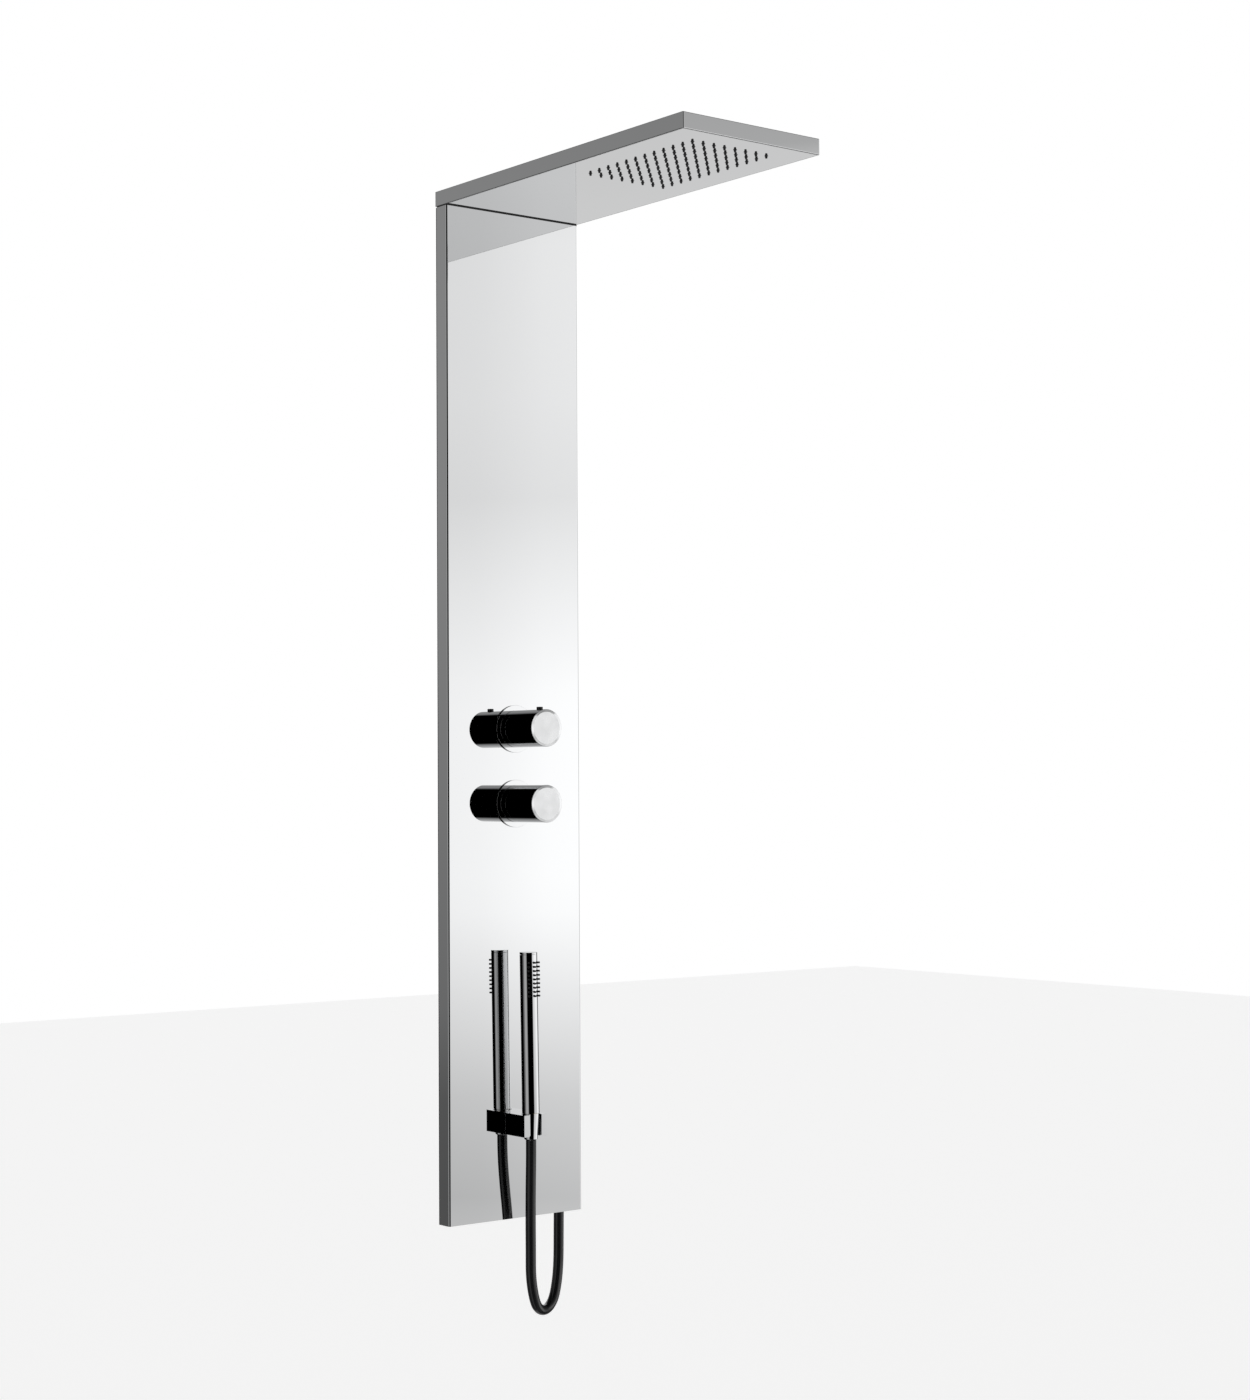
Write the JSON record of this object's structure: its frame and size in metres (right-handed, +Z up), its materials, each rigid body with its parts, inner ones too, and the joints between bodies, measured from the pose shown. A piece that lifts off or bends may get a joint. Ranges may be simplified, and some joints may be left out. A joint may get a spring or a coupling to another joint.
{
  "type": "rainfall shower column",
  "caption": "Flat mirror-steel shower column with an overhead rain arm, two round controls and a stick handset on a hose.",
  "frame": {"origin": "middle of the upper wall bracket's two screw holes, on the wall plane", "axes": "+X across the column, to the right of a person facing the wall; -Y out of the wall towards the user; +Z up"},
  "size_m": [0.22, 0.522, 1.5144],
  "materials": {
    "mirror_steel": "mirror-polished stainless steel",
    "chrome": "polished chrome plate",
    "galvanised": "plain zinc-plated sheet",
    "stainless_raw": "dull stainless steel",
    "brass": "machined brass",
    "copper_pipe": "drawn copper tube",
    "screw_steel": "zinc-plated screws",
    "black_rubber": "moulded rubber",
    "silicone": "grey-black silicone",
    "black_plastic": "moulded acetal",
    "white_plastic": "moulded acetal",
    "hose_pvc": "smooth gloss black hose"
  },
  "bodies": {
    "root": {"upper_wall_bracket": "galvanised", "lower_wall_bracket": "galvanised", "left_frame_rail": "galvanised", "right_frame_rail": "galvanised", "frame_crossbars": "galvanised", "valve_plate": "galvanised", "frame_rivets": "screw_steel", "column_casing": "mirror_steel", "bottom_plate": "mirror_steel", "bottom_plate_screws": "screw_steel", "hose_grommet": "black_plastic", "arm_gasket": "black_rubber", "back_edge_seals": "black_rubber", "arm_casing": "mirror_steel", "spray_plate": "mirror_steel", "arm_brackets": "stainless_raw", "arm_bracket_screws": "screw_steel", "rain_chamber_frame": "black_plastic", "rain_chamber_lid": "black_plastic", "rain_chamber_screws": "screw_steel", "rain_nozzle_mat": "silicone", "head_elbow": "brass", "riser_pipe": "copper_pipe", "arm_feed_pipe": "copper_pipe", "pipe_nuts": "brass", "valve_body": "brass", "valve_screws": "screw_steel", "thermostatic_cartridge": "brass", "thermostat_retaining_nut": "brass", "diverter_cartridge": "brass", "diverter_retaining_nut": "brass", "inlet_check_valves": "white_plastic", "hot_inlet_pipe": "copper_pipe", "cold_inlet_pipe": "copper_pipe", "inlet_elbows": "brass", "hand_supply_pipe": "copper_pipe", "hand_supply_elbow": "brass", "hose_end_nut": "brass", "temperature_escutcheon": "chrome", "diverter_escutcheon": "chrome", "escutcheon_seals": "black_rubber", "handset_bracket": "chrome", "bracket_liner": "black_plastic", "bracket_screws": "screw_steel", "hand_shower_hose": "hose_pvc"},
    "temperature_knob_body": {"temperature_knob": "chrome", "temperature_knob_insert": "white_plastic", "temperature_knob_grub_screw": "screw_steel", "thermostat_spindle": "brass", "stop_button_spring": "screw_steel"},
    "stop_button_body": {"stop_button": "black_plastic"},
    "diverter_knob_body": {"diverter_knob": "chrome", "diverter_knob_insert": "white_plastic", "diverter_knob_grub_screw": "screw_steel", "diverter_spindle": "brass"},
    "hose_cone": {"hose_cone_nut": "chrome"},
    "handset": {"handset_tube": "chrome", "handset_end_cap": "chrome", "handset_nozzle_insert": "silicone", "handset_connector": "brass"}
  },
  "joints": [
    {"name": "temperature_turn", "type": "hinge", "parent": "root", "child": "temperature_knob_body", "pos_m": [0, -0.06, -0.6215], "axis": [0, -1, 0], "range_deg": [-120, 60]},
    {"name": "stop_button_press", "type": "slide", "parent": "temperature_knob_body", "child": "stop_button_body", "axis": [0, 0, -1], "range_m": [0, 0.002], "stiffness_N_per_m": 600, "springref_m": -0.001, "deforming": ["stop_button_spring"]},
    {"name": "diverter_turn", "type": "hinge", "parent": "root", "child": "diverter_knob_body", "pos_m": [0, -0.06, -0.7225], "axis": [0, -1, 0], "range_deg": [-90, 90]},
    {"name": "handset_lift", "type": "slide", "parent": "root", "child": "hose_cone", "axis": [0, 0, 1], "range_m": [0, 0.045]},
    {"name": "handset_swivel", "type": "hinge", "parent": "hose_cone", "child": "handset", "pos_m": [0, -0.058, -1.1356], "axis": [-0.014, 0, 0.9999], "continuous": true}
  ]
}
